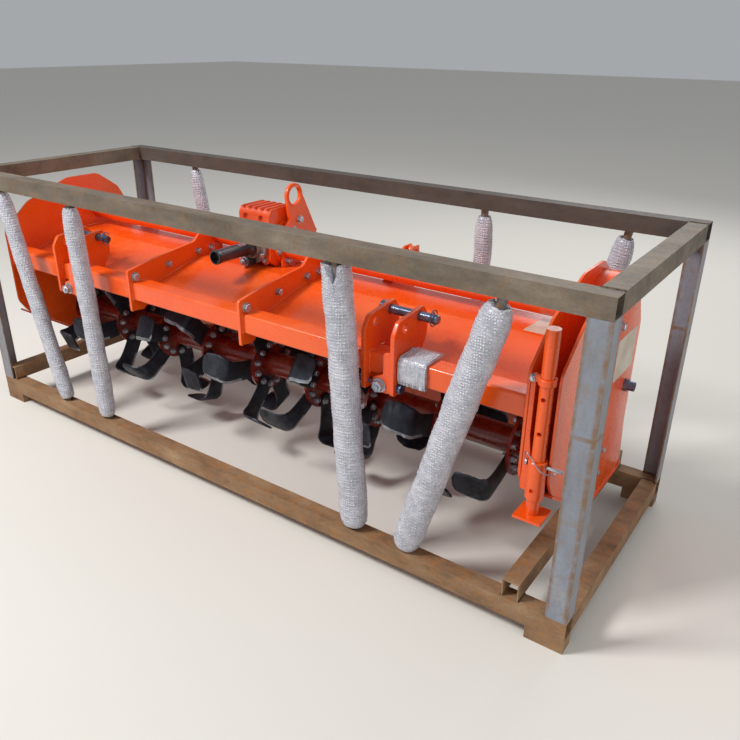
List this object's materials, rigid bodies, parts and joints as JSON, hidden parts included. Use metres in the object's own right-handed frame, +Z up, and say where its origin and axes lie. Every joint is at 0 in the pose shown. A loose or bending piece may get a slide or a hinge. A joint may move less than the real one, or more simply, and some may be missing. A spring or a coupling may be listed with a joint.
{
  "type": "rotary tiller in transport frame",
  "caption": "Tractor-mounted rotary tiller with bladed rotor, centre gearbox and rear board, standing inside a welded steel transport frame",
  "frame": {"origin": "On the ground under the middle of the transport frame", "axes": "X along the tiller to its gear case, Y from the hitch side to the rear, Z up"},
  "size_m": [2.58, 0.8978, 0.99],
  "materials": {
    "tiller_paint": "glossy orange-red enamel, dusty",
    "rusted_steel": "bare steel tube with orange rust",
    "mill_steel": "brown mill scale with light rust",
    "primed_steel": "grey primer, scratched and rusting",
    "bubble_wrap": "crumpled cloudy wrapping with air bubbles",
    "tine_steel": "blue-black forged steel",
    "rotor_steel": "deep red enamel, sooty",
    "zinc": "zinc-plated, slightly dull",
    "black_plastic": "black moulded guard"
  },
  "bodies": {
    "frame": {"bearing_left": "tiller_paint", "board_hinge_rod": "tiller_paint", "brace_wraps_front": "bubble_wrap", "brace_wraps_rear": "bubble_wrap", "case_plug": "zinc", "clamp_bolt_left": "zinc", "clamp_bolt_right": "zinc", "clevis_left": "tiller_paint", "clevis_right": "tiller_paint", "crate_base_rails": "rusted_steel", "crate_bearers": "rusted_steel", "crate_braces": "primed_steel", "crate_feet": "rusted_steel", "crate_posts": "primed_steel", "crate_top_rails": "mill_steel", "drive_tube_left": "tiller_paint", "drive_tube_right": "tiller_paint", "front_beam": "tiller_paint", "gearbox_housing": "tiller_paint", "hitch_pin_left": "zinc", "hitch_pin_right": "zinc", "hitch_plate_left": "tiller_paint", "hitch_plate_right": "tiller_paint", "hood": "tiller_paint", "hub_housing_right": "tiller_paint", "input_bearing_cap": "tiller_paint", "side_case": "tiller_paint", "side_case_cover": "tiller_paint", "side_plate_left": "tiller_paint", "side_plate_right": "tiller_paint", "skid_left": "tiller_paint", "skid_right": "tiller_paint", "stand_collar": "tiller_paint", "stay_brackets": "tiller_paint", "support_plate_left": "tiller_paint", "support_plate_right": "tiller_paint"},
    "rotor": {"rotor_tube": "rotor_steel", "rotor_flanges": "rotor_steel", "tines_right_hand": "tine_steel", "tines_left_hand": "tine_steel"},
    "input": {"input_shaft": "black_plastic"},
    "board": {"trailing_board": "tiller_paint"},
    "stays": {"stay_rods": "zinc"},
    "stand": {"stand_leg": "tiller_paint"}
  },
  "joints": [
    {"name": "rotor_spin", "type": "hinge", "parent": "frame", "child": "rotor", "pos_m": [-0.065, -0.015, 0.33], "axis": [1, 0, 0], "continuous": true},
    {"name": "input_spin", "type": "hinge", "parent": "frame", "child": "input", "pos_m": [-0.181, -0.09, 0.765], "axis": [0, 1, 0], "continuous": true},
    {"name": "board_swing", "type": "hinge", "parent": "frame", "child": "board", "pos_m": [-0.065, 0.29, 0.48], "axis": [1, 0, 0], "range_deg": [-4, 11]},
    {"name": "stay_swing", "type": "hinge", "parent": "frame", "child": "stays", "pos_m": [-0.045, 0.305, 0.77], "axis": [1, 0, 0], "range_deg": [-2, 5]},
    {"name": "stand_slide", "type": "slide", "parent": "frame", "child": "stand", "axis": [0, 0, -1], "range_m": [0, 0.12]}
  ],
  "couplings": [
    {"joint": "input_spin", "follows": "rotor_spin", "ratio": 2.45},
    {"joint": "stay_swing", "follows": "board_swing", "ratio": 0.445}
  ]
}
